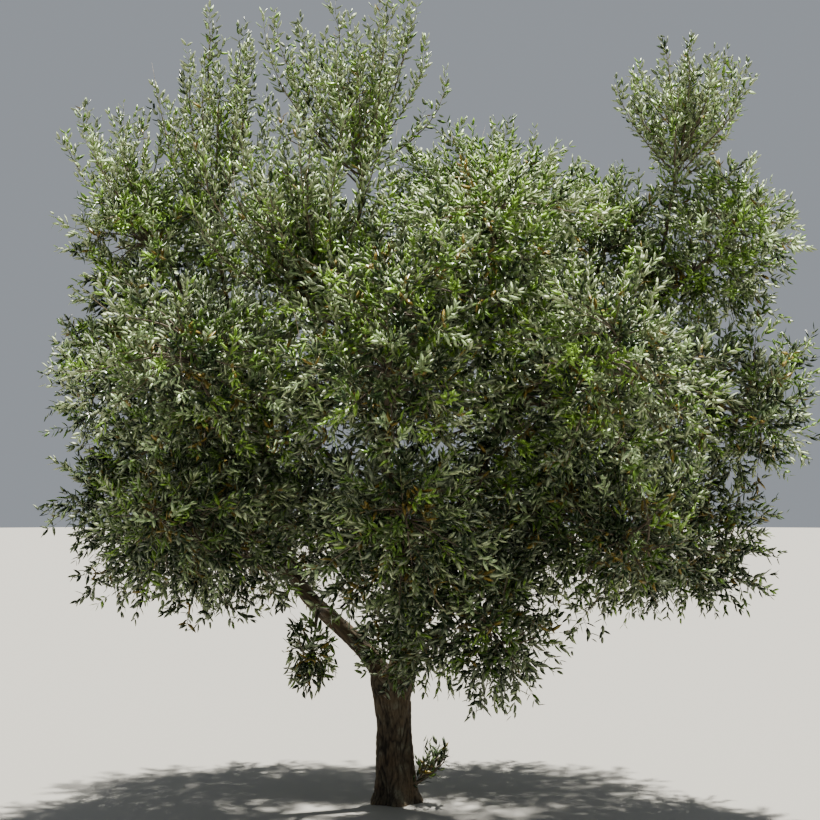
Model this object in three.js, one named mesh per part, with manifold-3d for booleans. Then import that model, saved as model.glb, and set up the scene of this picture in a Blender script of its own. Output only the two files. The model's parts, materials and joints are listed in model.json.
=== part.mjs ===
import * as THREE from "three";
import { mergeVertices } from "three/addons/utils/BufferGeometryUtils.js";
import Module from "manifold-3d";

// A grown olive tree, about 4.4 m tall, in millimetres with +Z up.
// The origin is the middle of the flat cut under the trunk, at ground level.
// Seen from the front, X runs to the right and Y runs away.
// The trunk forks low into scaffold boughs, and each bough ends where it enters a mass of foliage.
// A mass is one stem with twigs and leaves that keep to the mass's own space.
// Each leaf here stands for a whole spray, so it is larger than life.

const wasm = await Module();
wasm.setup();

// Clearance between solids that meet
const GAP = 0.4;
const UP = new THREE.Vector3(0, 0, 1);

// The trunk's outline as radius and height, from the flared foot to the top of the fork
const TRUNK_OUTLINE = [
  [134, 0],
  [117, 50],
  [104, 140],
  [97, 260],
  [93, 420],
  [98, 540],
  [112, 630],
  [104, 690],
  [60, 722],
];
const TRUNK_SIDES = 20;
const TRUNK_RINGS = 10;
const TRUNK_LEAN = -24;
const ROOT_LOBES = 5;
const ROOT_LOBE_DEPTH = 0.12;
const ROOT_LOBE_HEIGHT = 130;
const ROOT_LOBE_TURN = 0.7;
const FLUTES = 3;
const FLUTE_DEPTH = 0.035;
const FLUTE_TWIST_HEIGHT = 260;
// Foliage keeps clear of the trunk as if it were a straight post up to the fork
const TRUNK_POST = { radius: 118, height: 620 };

// The scaffold boughs: their radius at both ends and the points they run through, root first.
// Those with a parent leave it at a share of its length.
const LEFT = "bough_left";
const RIGHT = "bough_right";
const BACK = "bough_back";
const CENTRE = "bough_centre";
const FRONT = "bough_front";
const SCAFFOLD_SIDES = 8;
const SCAFFOLD_STEPS = 9;
const SCAFFOLDS = [
  {
    name: LEFT,
    thick: 54,
    thin: 11,
    through: [
      [-20, 0, 600],
      [-160, -20, 800],
      [-490, -80, 1130],
      [-590, -100, 1340],
      [-710, -60, 1870],
      [-880, 0, 2520],
      [-960, 20, 2920],
    ],
  },
  {
    name: RIGHT,
    thick: 68,
    thin: 12,
    through: [
      [20, 10, 600],
      [75, 25, 850],
      [125, 55, 1080],
      [250, 60, 1300],
      [410, 30, 1660],
      [590, 0, 2040],
      [890, -20, 2310],
      [1490, 20, 2740],
    ],
  },
  {
    name: BACK,
    thick: 52,
    thin: 12,
    through: [
      [0, 30, 600],
      [30, 220, 880],
      [-20, 560, 1250],
      [-40, 860, 1750],
      [0, 1080, 2420],
    ],
  },
  {
    name: CENTRE,
    thick: 44,
    thin: 10,
    parent: RIGHT,
    share: 0.25,
    through: [
      [70, 60, 1360],
      [-60, 20, 1820],
      [-200, -20, 2190],
      [-250, 0, 2580],
      [-190, 0, 3240],
    ],
  },
  {
    name: FRONT,
    thick: 36,
    thin: 12,
    parent: RIGHT,
    share: 0.13,
    through: [
      [60, -260, 1060],
      [10, -640, 1350],
      [-20, -940, 1750],
      [-30, -1060, 2020],
    ],
  },
];

// The masses of foliage: the middle and the reach of each, the scaffold bough that feeds it and the share
// of that bough's length where the mass's own bough leaves it. A mass with no share grows from the
// scaffold bough's tip, and a mass with a foot grows from the trunk's side there.
// Lift turns a mass's twigs up, or down where it is negative.
const MASSES = [
  { name: "left_low", at: [-1200, -50, 1560], reach: [700, 800, 580], from: LEFT, share: 0.3, lift: 0 },
  { name: "left_mid", at: [-1300, 50, 2200], reach: [620, 850, 640], from: LEFT, share: 0.42, lift: 0.2 },
  { name: "left_high", at: [-1300, 0, 2840], reach: [580, 750, 600], from: LEFT, share: 0.6, lift: 0.4 },
  { name: "left_shoots", at: [-1460, 20, 3220], reach: [440, 500, 580], from: LEFT, share: 0.72, lift: 0.9 },
  { name: "lower_left", at: [-950, -720, 1500], reach: [620, 640, 520], from: LEFT, share: 0.28, lift: -0.2 },
  { name: "hanging_left", at: [-400, -800, 900], reach: [140, 150, 250], from: LEFT, share: 0.2, lift: -0.9 },
  { name: "top_left", at: [-960, 0, 3360], reach: [460, 520, 940], from: LEFT, lift: 1 },
  { name: "centre_high", at: [-620, 460, 2950], reach: [660, 680, 720], from: CENTRE, share: 0.5, lift: 0.7 },
  { name: "front_high", at: [-440, -580, 2860], reach: [780, 660, 740], from: CENTRE, share: 0.55, lift: 0.7 },
  { name: "top_mid", at: [-260, -20, 3500], reach: [620, 600, 940], from: CENTRE, lift: 1 },
  { name: "top_right", at: [460, 100, 3050], reach: [740, 740, 620], from: RIGHT, share: 0.56, lift: 0.5 },
  { name: "upper_right", at: [500, -680, 2750], reach: [700, 660, 600], from: RIGHT, share: 0.6, lift: 0.4 },
  { name: "shoulder", at: [1120, 100, 2820], reach: [600, 720, 620], from: RIGHT, share: 0.66, lift: 0.5 },
  { name: "plume", at: [1600, 100, 3580], reach: [430, 450, 580], from: RIGHT, share: 0.95, lift: 0.7 },
  { name: "right_high", at: [1700, 50, 2900], reach: [560, 660, 580], from: RIGHT, lift: 0.3 },
  { name: "right_mid", at: [1660, -50, 2150], reach: [600, 750, 620], from: RIGHT, share: 0.78, lift: 0 },
  { name: "right_low", at: [1460, 0, 1500], reach: [620, 750, 580], from: RIGHT, share: 0.63, lift: -0.3 },
  { name: "right_inner", at: [1000, -650, 1500], reach: [640, 660, 580], from: RIGHT, share: 0.45, lift: -0.1 },
  { name: "front_centre", at: [0, -1020, 2250], reach: [740, 700, 700], from: FRONT, lift: 0.3 },
  { name: "front_left", at: [-920, -820, 2120], reach: [740, 740, 660], from: LEFT, share: 0.46, lift: 0.3 },
  { name: "front_low", at: [50, -980, 1460], reach: [550, 600, 540], from: FRONT, share: 0.3, lift: -0.1 },
  { name: "front_right", at: [920, -850, 2150], reach: [760, 740, 660], from: RIGHT, share: 0.52, lift: 0.3 },
  { name: "lower_right", at: [400, -720, 1170], reach: [500, 520, 620], from: FRONT, share: 0.2, lift: -0.6 },
  { name: "fork_shoots", at: [20, -240, 870], reach: [260, 200, 300], foot: [-5, -60, 610], lift: 0.1 },
  { name: "base_sucker", at: [205, -60, 190], reach: [115, 115, 170], foot: [60, -20, 60], lift: 0.5 },
  { name: "back_left", at: [-950, 920, 2250], reach: [780, 780, 700], from: BACK, share: 0.6, lift: 0.3 },
  { name: "back_centre", at: [20, 1090, 2560], reach: [800, 720, 820], from: BACK, lift: 0.5 },
  { name: "back_right", at: [1000, 920, 2300], reach: [780, 780, 720], from: BACK, share: 0.7, lift: 0.3 },
  { name: "back_low_left", at: [-560, 920, 1480], reach: [740, 680, 580], from: BACK, share: 0.3, lift: -0.1 },
  { name: "back_low_right", at: [540, 950, 1480], reach: [740, 680, 580], from: BACK, share: 0.36, lift: -0.1 },
];

// The masses that are open bunches, with the number of shoots that rise from low on the stem of each
const SHOOTS = { left_shoots: 7, top_left: 8, top_mid: 10, centre_high: 8, front_high: 8, plume: 8 };

// A mass's own bough: it is thicker the longer it is, sets off partly along its parent and partly upwards,
// and ends at a share of the reach from the middle of the mass
const BOUGH_SIDES = 5;
const BOUGH_STEPS = 4;
const BOUGH_TIP_RADIUS = 11;
const BOUGH_TIP_SHARE_OF_REACH = 0.045;
const BOUGH_THICKENING = 0.019;
const BOUGH_SHARE_OF_PARENT = 0.85;
const BOUGH_ENTRY_SHARE = 0.78;
const BOUGH_LEAVING = { ahead: 0.7, alongParent: 0.3, upwards: 0.25 };
const BOUGH_SAG = 0.1;
const LIFT_OF_BOUGH = 0.5;
const BEND_SHARE = 0.35;

// A mass's stem, from its bough's tip across the mass
const STEM_SIDES = 4;
const STEM_STEPS = 3;
const STEM_TIP_RADIUS = 6;
const FOOT_RADIUS_SHARE = 0.05;
const STEM_REACH_SHARE = 0.46;

// Twigs and leaves. A twig has three sides, and one leaf of a whorl stands on each side.
const TWIG_SIDES = 3;
const TWIG_RADIUS = 10;
const TWIG_TIP_RADIUS = 7;
const TWIG_RADIUS_SHARE_OF_LEAF = 0.05;
const TWIG_TIP_SHARE_OF_LEAF = 0.035;
const TWIG_REACH_SHARE = 0.46;
const SHOOT_REACH_SHARE = 0.64;
const LIFT_OF_TWIGS = 0.45;
const LIFT_OF_SHOOTS = 1.25;
// A mass has a twig for each such step of its mean reach, and never fewer than the least
const REACH_PER_TWIG = 102;
const LEAST_TWIGS = 3;
const LEAF_SHARE_OF_REACH = 0.92;
const SHOOT_LEAF_SHARE = 0.62;
const LEAF_WIDTH_SHARE = 0.4;
const LEAF_THICKNESS_SHARE = 0.028;
const LEAF_WIDEST_AT = 0.46;
const LEAF_THICKEST_AT = 0.25;
const LEAF_ANGLE = 1.05;
const WHORL_SHARE = 0.93;
// Lifted and hanging shoots hold their leaves closer
const ANGLE_LOST_TO_LIFT = 0.45;
// A leaf or twig with too little room is tried again at these shares of its length, then left out
const SHORTER = [1, 0.9, 0.8, 0.7, 0.6];
// The places along a leaf or twig where its clearance is tested
const LEAF_CHECKS = [0.15, 0.3, 0.5, 0.75, 1];
const TWIG_CHECKS = [0.3, 0.4, 0.5, 0.6, 0.7, 0.8, 0.9, 1];

// Clearances that keep a mass in its own space, off the limbs and above the ground
const REACH_ALLOWANCE = 1.02;
const SQUARENESS = 2.6;
const CELL_MARGIN = 3;
const LIMB_MARGIN = 6;
const LEAF_SPACING_SHARE = 0.08;
const LOWEST_POINT = 25;
const CHAIN_PIECES = 14;
// Joints between twigs and leaves leave slivers of faces finer than this, which are merged away
const SLIVER_SIZE = 0.1;
const MERGE_DISTANCE = 1e-3;

const MATERIALS = {
  bark: { color: "#4b3f33", roughness: 0.92, metalness: 0 },
  limb: { color: "#5a5044", roughness: 0.88, metalness: 0 },
  foliage: { color: "#6f8150", roughness: 0.55, metalness: 0 },
};

const vector = ([x, y, z]) => new THREE.Vector3(x, y, z);
const mix = THREE.MathUtils.lerp;
const largestBody = (solid) => solid.decompose().sort((a, b) => b.volume() - a.volume())[0];

// A repeatable stream of numbers from 0 to 1
function seededNumbers(seed) {
  let state = Math.imul(seed, 2654435761) >>> 0;
  return () => {
    state = (Math.imul(state, 1664525) + 1013904223) >>> 0;
    return state / 2 ** 32;
  };
}

// A closed solid of a geometry, whichever way round its faces were wound
function solidOf(geometry) {
  geometry.deleteAttribute("normal");
  geometry.deleteAttribute("uv");
  const merged = mergeVertices(geometry, MERGE_DISTANCE);
  const vertProperties = new Float32Array(merged.attributes.position.array);
  const corners = new Uint32Array(merged.index.array);
  const solidWith = (triVerts) => new wasm.Manifold(new wasm.Mesh({ numProp: 3, vertProperties, triVerts }));
  const solid = solidWith(corners);
  return solid.volume() >= 0 ? solid : solidWith(corners.reverse());
}

// A mesh of a solid, modelled about a point of its own and placed there
function meshOf(name, solid, material, place) {
  const { numVert, numProp, vertProperties, triVerts } = solid.getMesh();
  const positions = new Float32Array(numVert * 3);
  for (let i = 0; i < numVert; i++) {
    positions.set(vertProperties.subarray(i * numProp, i * numProp + 3), i * 3);
  }
  const geometry = new THREE.BufferGeometry();
  geometry.setAttribute("position", new THREE.BufferAttribute(positions, 3));
  geometry.setIndex(new THREE.BufferAttribute(new Uint32Array(triVerts), 1));
  geometry.translate(-place.x, -place.y, -place.z);
  geometry.computeVertexNormals();
  const mesh = new THREE.Mesh(geometry, new THREE.MeshStandardMaterial(MATERIALS[material]));
  mesh.name = name;
  mesh.position.copy(place);
  return mesh;
}

// A closed round limb: a cylinder whose rings are laid along a curve, each with its own radius
function limbSolid({ curve, sides, steps, thick, thin }, clearance = 0) {
  const geometry = new THREE.CylinderGeometry(1, 1, 1, sides, steps);
  const { normals, binormals } = curve.computeFrenetFrames(steps, false);
  const position = geometry.attributes.position;
  for (let i = 0; i < position.count; i++) {
    const ring = Math.round((position.getY(i) + 0.5) * steps);
    const radius = mix(thick, thin, ring / steps) + clearance;
    const point = curve
      .getPointAt(ring / steps)
      .addScaledVector(normals[ring], position.getZ(i) * radius)
      .addScaledVector(binormals[ring], position.getX(i) * radius);
    position.setXYZ(i, point.x, point.y, point.z);
  }
  return solidOf(geometry);
}

// The trunk: a cylinder drawn out to its outline, lobed at the root flare, faintly fluted and leaning
function trunkSolid(clearance = 0) {
  const profile = TRUNK_OUTLINE.map(([radius, height]) => new THREE.Vector2(radius, height));
  const outline = new THREE.SplineCurve(profile);
  const topHeight = profile.at(-1).y;
  const geometry = new THREE.CylinderGeometry(1, 1, 1, TRUNK_SIDES, TRUNK_RINGS);
  const position = geometry.attributes.position;
  for (let i = 0; i < position.count; i++) {
    const share = position.getY(i) + 0.5;
    const { x: radius, y: height } = outline.getPoint(share);
    const across = Math.hypot(position.getX(i), position.getZ(i));
    const turn = Math.atan2(position.getX(i), position.getZ(i));
    const flare = ROOT_LOBE_DEPTH * Math.exp(-height / ROOT_LOBE_HEIGHT);
    const lobes = flare * Math.cos(ROOT_LOBES * turn + ROOT_LOBE_TURN);
    const flutes = FLUTE_DEPTH * Math.cos(FLUTES * turn + height / FLUTE_TWIST_HEIGHT);
    const wide = across * (radius * (1 + lobes + flutes) + clearance);
    const lean = TRUNK_LEAN * (height / topHeight) ** 2;
    const raised = share > 0.5 ? clearance : -clearance;
    position.setXYZ(i, lean + wide * Math.cos(turn), wide * Math.sin(turn), Math.max(0, height) + raised);
  }
  return solidOf(geometry);
}

// The scaffold boughs, parents first
function scaffoldLimbs() {
  const limbs = new Map();
  for (const { name, thick, thin, through, parent, share } of SCAFFOLDS) {
    const points = through.map(vector);
    if (parent) points.unshift(limbs.get(parent).curve.getPointAt(share));
    const curve = new THREE.CatmullRomCurve3(points);
    limbs.set(name, { name, curve, sides: SCAFFOLD_SIDES, steps: SCAFFOLD_STEPS, thick, thin });
  }
  return limbs;
}

// How far out in its mass a point lies: one at the end of its reach, which is a little squarer than round
function fullness(mass, offset) {
  const shares = offset.toArray().map((size, axis) => Math.abs(size / mass.reach[axis]));
  return shares.reduce((sum, share) => sum + share ** SQUARENESS, 0) ** (1 / SQUARENESS);
}

// How far a mass reaches from its middle in a direction
const reachAlong = (mass, direction) => 1 / fullness(mass, direction);

const meanReach = (mass) => Math.cbrt(mass.reach[0] * mass.reach[1] * mass.reach[2]);

// A curve that sets off in one direction and arrives in another
function bentCurve(start, leaving, end, arriving) {
  const pull = start.distanceTo(end) * BEND_SHARE;
  const first = start.clone().addScaledVector(leaving, pull);
  const last = end.clone().addScaledVector(arriving, -pull);
  return new THREE.CubicBezierCurve3(start, first, last, end);
}

// The bough that carries a mass: it leaves its parent, bends towards the mass and ends where it enters it
function boughLimb(mass, parent) {
  const middle = vector(mass.at);
  const start = parent.curve.getPointAt(mass.share);
  const back = start.clone().sub(middle).normalize();
  const end = middle.clone().addScaledVector(back, reachAlong(mass, back) * BOUGH_ENTRY_SHARE);
  const heading = end.clone().sub(start).normalize();
  const leaving = heading
    .clone()
    .multiplyScalar(BOUGH_LEAVING.ahead)
    .addScaledVector(parent.curve.getTangentAt(mass.share), BOUGH_LEAVING.alongParent)
    .addScaledVector(UP, BOUGH_LEAVING.upwards)
    .normalize();
  const arriving = heading.addScaledVector(UP, mass.lift * LIFT_OF_BOUGH - BOUGH_SAG).normalize();
  const parentRadius = mix(parent.thick, parent.thin, mass.share);
  const grown = BOUGH_TIP_RADIUS + start.distanceTo(end) * BOUGH_THICKENING;
  return {
    name: `limb_${mass.name}`,
    curve: bentCurve(start, leaving, end, arriving),
    sides: BOUGH_SIDES,
    steps: BOUGH_STEPS,
    thick: Math.min(grown, parentRadius * BOUGH_SHARE_OF_PARENT),
    thin: Math.min(BOUGH_TIP_RADIUS, mass.reach[0] * BOUGH_TIP_SHARE_OF_REACH),
  };
}

// A mass's stem carries on from its bough's tip, or leaves the trunk's side, and crosses the mass.
// Twigs may start at its knots, which are its rings and the places midway between them.
function stemLimb(mass, bough) {
  const middle = vector(mass.at);
  const start = bough ? bough.curve.getPointAt(1) : vector(mass.foot);
  const leaving = bough ? bough.curve.getTangentAt(1) : middle.clone().sub(start).normalize();
  if (bough) start.addScaledVector(leaving, GAP);
  const ahead = middle.clone().sub(start).normalize();
  const arriving = ahead.multiplyScalar(1 - Math.abs(mass.lift)).addScaledVector(UP, mass.lift).normalize();
  const end = middle.clone().addScaledVector(arriving, reachAlong(mass, arriving) * STEM_REACH_SHARE);
  const curve = bentCurve(start, leaving, end, arriving);
  const rings = curve.getSpacedPoints(STEM_STEPS);
  return {
    curve,
    knots: rings.flatMap((ring, i) => (i ? [rings[i - 1].clone().lerp(ring, 0.5), ring] : [ring])),
    sides: STEM_SIDES,
    steps: STEM_STEPS,
    thick: bough ? bough.thin : mass.reach[0] * FOOT_RADIUS_SHARE,
    thin: STEM_TIP_RADIUS,
  };
}

// True where a point is in a mass's reach, above the ground and on its side of the plane that parts the
// mass from each neighbour
function inOwnSpace(mass, point, margin) {
  const middle = vector(mass.at);
  const offset = point.clone().sub(middle);
  if (fullness(mass, offset) > REACH_ALLOWANCE) return false;
  if (point.z < LOWEST_POINT) return false;
  return MASSES.every((other) => {
    if (other === mass) return true;
    const between = vector(other.at).sub(middle);
    const apart = between.length();
    between.normalize();
    const ours = reachAlong(mass, between);
    const boundary = (apart * ours) / (ours + reachAlong(other, between));
    return offset.dot(between) < boundary - margin;
  });
}

// A limb as a chain of short straight pieces, for the clearance test
function chainOf({ curve, thick, thin }) {
  const points = curve.getSpacedPoints(CHAIN_PIECES);
  return points.slice(1).map((end, i) => {
    return { line: new THREE.Line3(points[i], end), radius: mix(thick, thin, i / CHAIN_PIECES) };
  });
}

function distanceTo(line, point) {
  return line.closestPointToPoint(point, true, new THREE.Vector3()).distanceTo(point);
}

function clearOf(chains, point, room) {
  return chains.every(({ line, radius }) => distanceTo(line, point) > radius + room);
}

// Directions spread evenly over a sphere
function spreadDirection(index, count, turn) {
  const z = 1 - (2 * index + 1) / count;
  const across = Math.sqrt(1 - z * z);
  const goldenAngle = Math.PI * (3 - Math.sqrt(5));
  const angle = index * goldenAngle + turn;
  return new THREE.Vector3(across * Math.cos(angle), across * Math.sin(angle), z);
}

// A leaf is a flat pointed body of eight faces, thickest near its root and widest before its middle
function leafSolid(root, direction, side, length) {
  const geometry = new THREE.OctahedronGeometry(1);
  const position = geometry.attributes.position;
  const face = direction.clone().cross(side);
  for (let i = 0; i < position.count; i++) {
    const [x, y, z] = [position.getX(i), position.getY(i), position.getZ(i)].map(Math.round);
    const waist = x ? LEAF_WIDEST_AT : LEAF_THICKEST_AT;
    const along = y ? (1 + y) / 2 : waist;
    const point = root
      .clone()
      .addScaledVector(direction, length * along)
      .addScaledVector(side, (x * length * LEAF_WIDTH_SHARE) / 2)
      .addScaledVector(face, (z * length * LEAF_THICKNESS_SHARE) / 2);
    position.setXYZ(i, point.x, point.y, point.z);
  }
  return solidOf(geometry);
}

// Grows one mass: its stem, the twigs on it and the leaves on them, as one solid
function massSolid(mass, stem, chains, seed) {
  const random = seededNumbers(seed);
  const middle = vector(mass.at);
  const shoots = SHOOTS[mass.name];
  const fullLength = meanReach(mass) * (shoots ? SHOOT_LEAF_SHARE : LEAF_SHARE_OF_REACH);
  const thick = Math.min(TWIG_RADIUS, fullLength * TWIG_RADIUS_SHARE_OF_LEAF);
  const thin = Math.min(TWIG_TIP_RADIUS, fullLength * TWIG_TIP_SHARE_OF_LEAF);
  const pieces = [limbSolid(stem)];
  const leafLines = [];

  // True where a leaf of this length stays in the mass's space, clear of limbs and off the other leaves
  const leafFits = (root, direction, side, length) => {
    const halfWidth = (length * LEAF_WIDTH_SHARE) / 2;
    const margin = CELL_MARGIN + length * LEAF_THICKNESS_SHARE;
    const along = (share) => root.clone().addScaledVector(direction, length * share);
    const corners = [-1, 1].map((way) => along(LEAF_WIDEST_AT).addScaledVector(side, way * halfWidth));
    if (![along(1), ...corners].every((corner) => inOwnSpace(mass, corner, margin))) return false;
    const checks = LEAF_CHECKS.map(along);
    if (!checks.every((point) => clearOf(chains, point, halfWidth + LIMB_MARGIN))) return false;
    const spacing = length * LEAF_SPACING_SHARE;
    return leafLines.every((line) => checks.slice(2).every((point) => distanceTo(line, point) > spacing));
  };

  const addLeaf = (root, direction, side) => {
    const share = SHORTER.find((shorter) => leafFits(root, direction, side, fullLength * shorter));
    if (!share) return;
    const length = fullLength * share;
    const along = (part) => root.clone().addScaledVector(direction, length * part);
    leafLines.push(new THREE.Line3(along(LEAF_THICKEST_AT), along(1)));
    pieces.push(leafSolid(root, direction, side, length));
  };

  // One leaf goes on from a twig's tip, and a whorl stands out below it with its faces turned outwards
  const dress = (twig) => {
    const { normals, binormals } = twig.computeFrenetFrames(1, false);
    const heading = twig.getTangentAt(1);
    addLeaf(twig.getPointAt(1).addScaledVector(heading, -thin), heading, binormals[1]);
    const angle = LEAF_ANGLE * (1 - ANGLE_LOST_TO_LIFT * Math.abs(mass.lift));
    for (let face = 0; face < TWIG_SIDES; face++) {
      const around = ((face + 0.5) / TWIG_SIDES) * Math.PI * 2;
      const outwards = normals[1]
        .clone()
        .multiplyScalar(Math.cos(around))
        .addScaledVector(binormals[1], Math.sin(around));
      const side = heading.clone().cross(outwards).normalize();
      const direction = heading
        .clone()
        .multiplyScalar(Math.cos(angle))
        .addScaledVector(outwards, Math.sin(angle))
        .normalize();
      addLeaf(twig.getPointAt(WHORL_SHARE), direction, side);
    }
  };

  // A twig runs from one of the stem's knots, by turns the nearest one and the next. Shoots rise from the
  // lower knots in turn.
  const twigTo = (outward, share, index) => {
    const far = reachAlong(mass, outward) * (shoots ? SHOOT_REACH_SHARE : TWIG_REACH_SHARE) * share;
    const target = middle.clone().addScaledVector(outward, far);
    const feet = stem.knots.slice(1, -1);
    if (shoots) return new THREE.LineCurve3(feet[index % (feet.length - 1)], target);
    feet.sort((a, b) => a.distanceTo(target) - b.distanceTo(target));
    return new THREE.LineCurve3(feet[index % 2], target);
  };
  const twigFits = (twig) => {
    const checks = TWIG_CHECKS.map((share) => twig.getPointAt(share));
    const inside = checks.every((point) => inOwnSpace(mass, point, CELL_MARGIN + thick));
    return inside && checks.every((point) => clearOf(chains, point, thick + LIMB_MARGIN));
  };

  const turn = random() * Math.PI * 2;
  const twigs = shoots ?? Math.max(LEAST_TWIGS, Math.round(meanReach(mass) / REACH_PER_TWIG));
  const rise = mass.lift * (shoots ? LIFT_OF_SHOOTS : LIFT_OF_TWIGS);
  for (let k = 0; k < twigs; k++) {
    const outward = spreadDirection(k, twigs, turn).addScaledVector(UP, rise).normalize();
    const curve = SHORTER.map((share) => twigTo(outward, share, k)).find(twigFits);
    if (!curve) continue;
    pieces.push(limbSolid({ curve, sides: TWIG_SIDES, steps: 1, thick, thin }));
    dress(curve);
  }
  const onward = stem.curve.getTangentAt(1);
  const flat = onward.clone().cross(spreadDirection(1, LEAST_TWIGS, turn)).normalize();
  addLeaf(stem.curve.getPointAt(1).addScaledVector(onward, -thin), onward, flat);
  return largestBody(wasm.Manifold.union(pieces)).asOriginal().simplify(SLIVER_SIZE);
}

// The trunk and every bough, each bough cut clear of the trunk and of the boughs before it
function growWood(scaffolds, boughs) {
  const wood = new THREE.Group();
  wood.add(meshOf("trunk", trunkSolid(), "bark", new THREE.Vector3()));
  const standing = [trunkSolid(GAP)];
  for (const limb of [...scaffolds.values(), ...boughs.values()]) {
    const solid = standing.reduce((left, other) => left.subtract(other), limbSolid(limb));
    const material = scaffolds.has(limb.name) ? "bark" : "limb";
    wood.add(meshOf(limb.name, largestBody(solid), material, limb.curve.getPointAt(0)));
    standing.push(limbSolid(limb, GAP));
  }
  return wood;
}

// Every mass, with all the stems settled first so that each mass's twigs miss the others' stems
function growFoliage(scaffolds, boughs) {
  const foliage = new THREE.Group();
  const trunkLine = new THREE.Line3(new THREE.Vector3(), new THREE.Vector3(TRUNK_LEAN, 0, TRUNK_POST.height));
  const woodChains = [{ line: trunkLine, radius: TRUNK_POST.radius }];
  for (const limb of [...scaffolds.values(), ...boughs.values()]) woodChains.push(...chainOf(limb));
  const feeder = (mass) => (mass.foot ? null : (boughs.get(mass.name) ?? scaffolds.get(mass.from)));
  const stems = MASSES.map((mass) => stemLimb(mass, feeder(mass)));
  const trunk = trunkSolid(GAP);
  MASSES.forEach((mass, index) => {
    const otherStems = stems.filter((stem) => stem !== stems[index]).flatMap(chainOf);
    const solid = massSolid(mass, stems[index], [...woodChains, ...otherStems], index + 1);
    const clear = mass.foot ? largestBody(solid.subtract(trunk)) : solid;
    foliage.add(meshOf(`foliage_${mass.name}`, clear, "foliage", vector(mass.at)));
  });
  return foliage;
}

const scaffolds = scaffoldLimbs();
const boughs = new Map();
for (const mass of MASSES.filter((one) => one.share)) {
  boughs.set(mass.name, boughLimb(mass, scaffolds.get(mass.from)));
}

const tree = new THREE.Group();
tree.add(growWood(scaffolds, boughs));
tree.add(growFoliage(scaffolds, boughs));

export default tree;
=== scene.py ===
import json
import math

import bpy
import numpy as np
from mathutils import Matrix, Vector, kdtree, noise

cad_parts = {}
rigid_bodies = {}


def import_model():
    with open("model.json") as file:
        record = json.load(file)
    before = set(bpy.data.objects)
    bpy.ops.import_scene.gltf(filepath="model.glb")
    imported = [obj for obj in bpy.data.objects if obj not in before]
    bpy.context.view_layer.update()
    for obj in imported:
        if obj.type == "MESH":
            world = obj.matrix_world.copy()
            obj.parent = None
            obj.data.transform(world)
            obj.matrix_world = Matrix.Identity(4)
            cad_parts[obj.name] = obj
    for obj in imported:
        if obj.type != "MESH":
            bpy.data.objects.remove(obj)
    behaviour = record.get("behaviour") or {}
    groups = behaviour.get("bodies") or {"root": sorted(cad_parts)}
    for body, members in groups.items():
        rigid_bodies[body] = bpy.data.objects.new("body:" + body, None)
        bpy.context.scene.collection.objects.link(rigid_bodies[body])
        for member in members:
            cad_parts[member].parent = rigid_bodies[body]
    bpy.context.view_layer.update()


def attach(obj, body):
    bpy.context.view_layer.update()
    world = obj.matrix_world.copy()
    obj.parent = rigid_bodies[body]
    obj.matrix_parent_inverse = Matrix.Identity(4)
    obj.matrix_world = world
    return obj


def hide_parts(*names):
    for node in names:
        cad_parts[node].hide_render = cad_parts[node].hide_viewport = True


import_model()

# A grown olive tree, in metres with +Z up, its origin in the middle of the flat cut under the trunk.
# Its limbs and masses of foliage follow the same rule as the solids, carried on to finer twigs and leaves.

UP = np.array([0.0, 0.0, 1.0])
GOLDEN_ANGLE = math.pi * (3 - math.sqrt(5))

# The trunk's outline as radius and height, from the flared foot to the top of the fork
TRUNK_OUTLINE = [
    (0.134, 0.0),
    (0.117, 0.05),
    (0.104, 0.14),
    (0.097, 0.26),
    (0.093, 0.42),
    (0.098, 0.54),
    (0.112, 0.63),
    (0.104, 0.69),
    (0.06, 0.722),
]
TRUNK_SIDES = 56
TRUNK_RINGS = 30
TRUNK_LEAN = -0.024
# The raw trunk starts this far below the ground, and is cut off flat at the ground once it has its bark
TRUNK_BURIED = 0.03
ROOT_LOBES = 5
ROOT_LOBE_DEPTH = 0.12
ROOT_LOBE_HEIGHT = 0.13
ROOT_LOBE_TURN = 0.7
FLUTES = 3
FLUTE_DEPTH = 0.035
FLUTE_TWIST_HEIGHT = 0.26

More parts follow.
